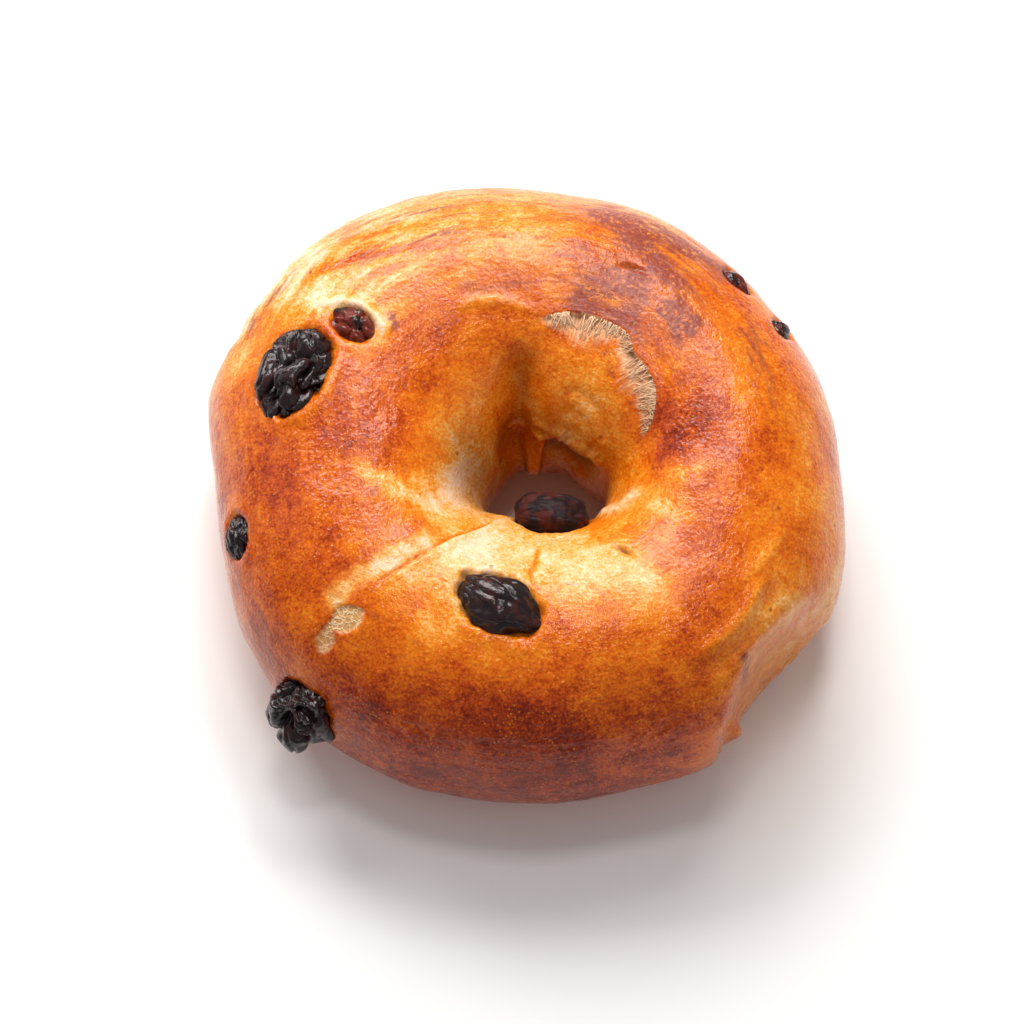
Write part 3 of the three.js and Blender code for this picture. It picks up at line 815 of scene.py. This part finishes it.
def raisin_finish(name, looks):
    """Near-black glossy skin, red where it is thin, and outside the folds a blue-grey dust that is partly
    painted sheen.
    """
    skin = Finish(name)
    here = skin.node("ShaderNodeTexCoord").outputs["Object"]
    fold_here = skin.attribute("fold").outputs["Fac"]
    base = skin.mix(skin.noise(here, 1.5 * MM, 3), BLACK_SKIN, BROWN_SKIN)
    red_from, red_to = 0.52 - 0.16 * looks["red"], 0.68 - 0.16 * looks["red"]
    flush = skin.step(skin.noise(here, 2.6 * MM, 3), red_from, red_to)
    base = skin.mix(skin.math("MULTIPLY", flush, looks["red"]), base, RED_SKIN)
    # A blue-grey dust on the swellings, partly a painted sheen.
    dust_and_sheen = skin.step(skin.noise(here, 1.3 * MM, 4), 0.50, 0.70)
    dust_and_sheen = skin.math("MULTIPLY", dust_and_sheen, looks["bloom_and_sheen"])
    dust_and_sheen = skin.math("MULTIPLY", dust_and_sheen, skin.math("SUBTRACT", 1.0, fold_here, clamp=True))
    base = skin.mix(dust_and_sheen, base, BLOOM_AND_SHEEN)
    skin.feed(skin.shader.inputs["Base Color"], base)
    rough = skin.math("MULTIPLY_ADD", skin.noise(here, 1.1 * MM, 3), 0.24, looks["dullness"])
    skin.feed(skin.shader.inputs["Roughness"], rough)
    skin.shader.inputs["Specular IOR Level"].default_value = looks["shine"]
    fine = skin.math("MULTIPLY_ADD", skin.noise(here, 0.55 * MM, 3, 0.55), 0.6, skin.noise(here, 1.5 * MM, 2))
    bump = skin.node("ShaderNodeBump", {"Height": fine, "Strength": 0.5, "Distance": 0.20 * MM})
    skin.feed(skin.shader.inputs["Normal"], bump.outputs[0])
    return skin.material


def crease_in(value, width):
    """1 where the value crosses zero, falling off to 0 at the width."""
    return max(0.0, 1 - abs(value) / width) ** 1.5


# The vector noise starts from a different place each run unless it is given a seed.
noise.seed_set(11)
for number, socket in enumerate(SOCKETS):
    name = socket["raisin"]
    looks = {**USUAL_LOOKS, **RAISIN_LOOKS[name]}
    long, wide, thick = socket["half"]
    detail = 6 if long > 5 else 5 if long > 3.5 else 4
    body = bmesh.new()
    bmesh.ops.create_icosphere(body, subdivisions=detail, radius=1)
    folds = []
    shift = Vector((3.7 * number, -2.3 * number, 1.9 * number))
    squeeze = Vector((looks["stretch"], 1, 1))
    for vertex in body.verts:
        way = vertex.co.copy()
        grown = way * squeeze
        bent = grown + 0.25 * noise.noise_vector(grown * 1.7 - shift)
        drawn = (0.36 * crease_in(noise.noise(bent * 1.2 + shift), 0.22)
                 + 0.17 * crease_in(noise.noise(bent * 2.4 + shift * 1.3), 0.24)
                 + 0.03 * crease_in(noise.noise(bent * 5.5 + shift * 0.7), 0.30))
        folds.append(min(1.0, 4 * drawn))
        swell = 1.09 + looks["lumpy"] * noise.noise(way * 1.3 - shift)
        swell += 0.05 * noise.noise(way * 3.0 + shift)
        shape = way * (swell - looks["depth"] * drawn)
        narrow = 1 - looks["point"] * way.x ** 2
        shape = Vector((shape.x * long, shape.y * wide * narrow, shape.z * thick * narrow))
        if socket["section"] == BASE:
            shape.z = min(shape.z, socket["sunk"] - TRAY_CLEARANCE)
        vertex.co = socket["facing"] @ shape * MM + socket["middle"]
    mesh = bpy.data.meshes.new(name)
    body.to_mesh(mesh)
    body.free()
    mesh.shade_smooth()
    layer = mesh.attributes.new("fold", "FLOAT", "POINT")
    layer.data.foreach_set("value", np.array(folds, dtype=np.float32))
    mesh.materials.append(raisin_finish(name + "_skin", looks))
    piece = bpy.data.objects.new(name.replace("raisin", "dried_raisin"), mesh)
    bpy.context.scene.collection.objects.link(piece)
    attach(piece, "root")
    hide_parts(name)

# --- The table, the light and the camera -----------------------------------------------------
# A plain pale table, one large soft window behind the bagel and two small ones higher up, weak
# light strips at both sides, and a camera that looks down on the near side of the bagel.
TABLE_HALF = 2.0
PALE, PALER = (0.93, 0.93, 0.93), (0.96, 0.96, 0.96)
table = Finish("pale_table")
table_place = table.node("ShaderNodeTexCoord").outputs["Object"]
table_colour = table.mix(table.noise(table_place, 0.05, 3), PALE, PALER)
table.feed(table.shader.inputs["Base Color"], table_colour)
table.shader.inputs["Roughness"].default_value = 0.6
table_mesh = bpy.data.meshes.new("table_top")
table_mesh.from_pydata([(-TABLE_HALF, -TABLE_HALF, 0), (TABLE_HALF, -TABLE_HALF, 0),
                        (TABLE_HALF, TABLE_HALF, 0), (-TABLE_HALF, TABLE_HALF, 0)], [], [(0, 1, 2, 3)])
table_mesh.materials.append(table.material)
table_top = bpy.data.objects.new("table_top", table_mesh)
bpy.context.scene.collection.objects.link(table_top)

bagel_middle = Vector((TO_FRAME[0], TO_FRAME[1], HEIGHT / 2 * MM))


def soft_light(name, bearing, elevation, distance, size, power, colour):
    """A rectangular light that faces the middle of the bagel."""
    lamp = bpy.data.lights.new(name, "AREA")
    lamp.shape = "RECTANGLE"
    lamp.size, lamp.size_y = size
    lamp.energy = power
    lamp.color = colour
    holder = bpy.data.objects.new(name, lamp)
    bearing, elevation = math.radians(bearing), math.radians(elevation)
    way = Vector((math.cos(bearing) * math.cos(elevation), math.sin(bearing) * math.cos(elevation),
                  math.sin(elevation)))
    holder.location = bagel_middle + way * distance
    holder.rotation_euler = way.to_track_quat("Z", "Y").to_euler()
    bpy.context.scene.collection.objects.link(holder)


DAYLIGHT, WARM = (1.0, 0.97, 0.94), (1.0, 0.95, 0.92)
soft_light("window", 104, 44, 0.9, (0.70, 0.40), 9.0, DAYLIGHT)
soft_light("small_window", 73, 57, 0.9, (0.18, 0.16), 1.5, DAYLIGHT)
soft_light("top_window", 88, 80, 0.9, (0.20, 0.14), 1.2, DAYLIGHT)
soft_light("right_strip", -20, 28, 1.0, (0.35, 0.7), 0.6, WARM)
soft_light("left_strip", 158, 30, 1.0, (0.4, 0.7), 0.8, WARM)

world = bpy.data.worlds.new("studio")
world.use_nodes = True
background = world.node_tree.nodes["Background"]
background.inputs["Color"].default_value = (1, 1, 1, 1)
background.inputs["Strength"].default_value = 0.32
bpy.context.scene.world = world
bpy.context.scene.view_settings.view_transform = "Standard"

# The camera is aimed a little to the left of the bagel's middle and below it.
VIEW_ELEVATION = math.radians(66)
VIEW_DISTANCE = 0.55
AIM_LEFT, AIM_BELOW = 2.82, 2.74
SENSOR_WIDTH, LENS = 36, 116.6
camera_data = bpy.data.cameras.new("camera")
camera_data.sensor_width = SENSOR_WIDTH
camera_data.lens = LENS
camera_data.dof.use_dof = False
camera = bpy.data.objects.new("camera", camera_data)
back = Vector((0, -math.cos(VIEW_ELEVATION), math.sin(VIEW_ELEVATION)))
rightward = Vector((1, 0, 0))
upward = Vector((0, math.sin(VIEW_ELEVATION), math.cos(VIEW_ELEVATION)))
camera.location = bagel_middle + back * VIEW_DISTANCE - rightward * AIM_LEFT * MM - upward * AIM_BELOW * MM
camera.rotation_euler = back.to_track_quat("Z", "Y").to_euler()
bpy.context.scene.collection.objects.link(camera)
bpy.context.scene.camera = camera
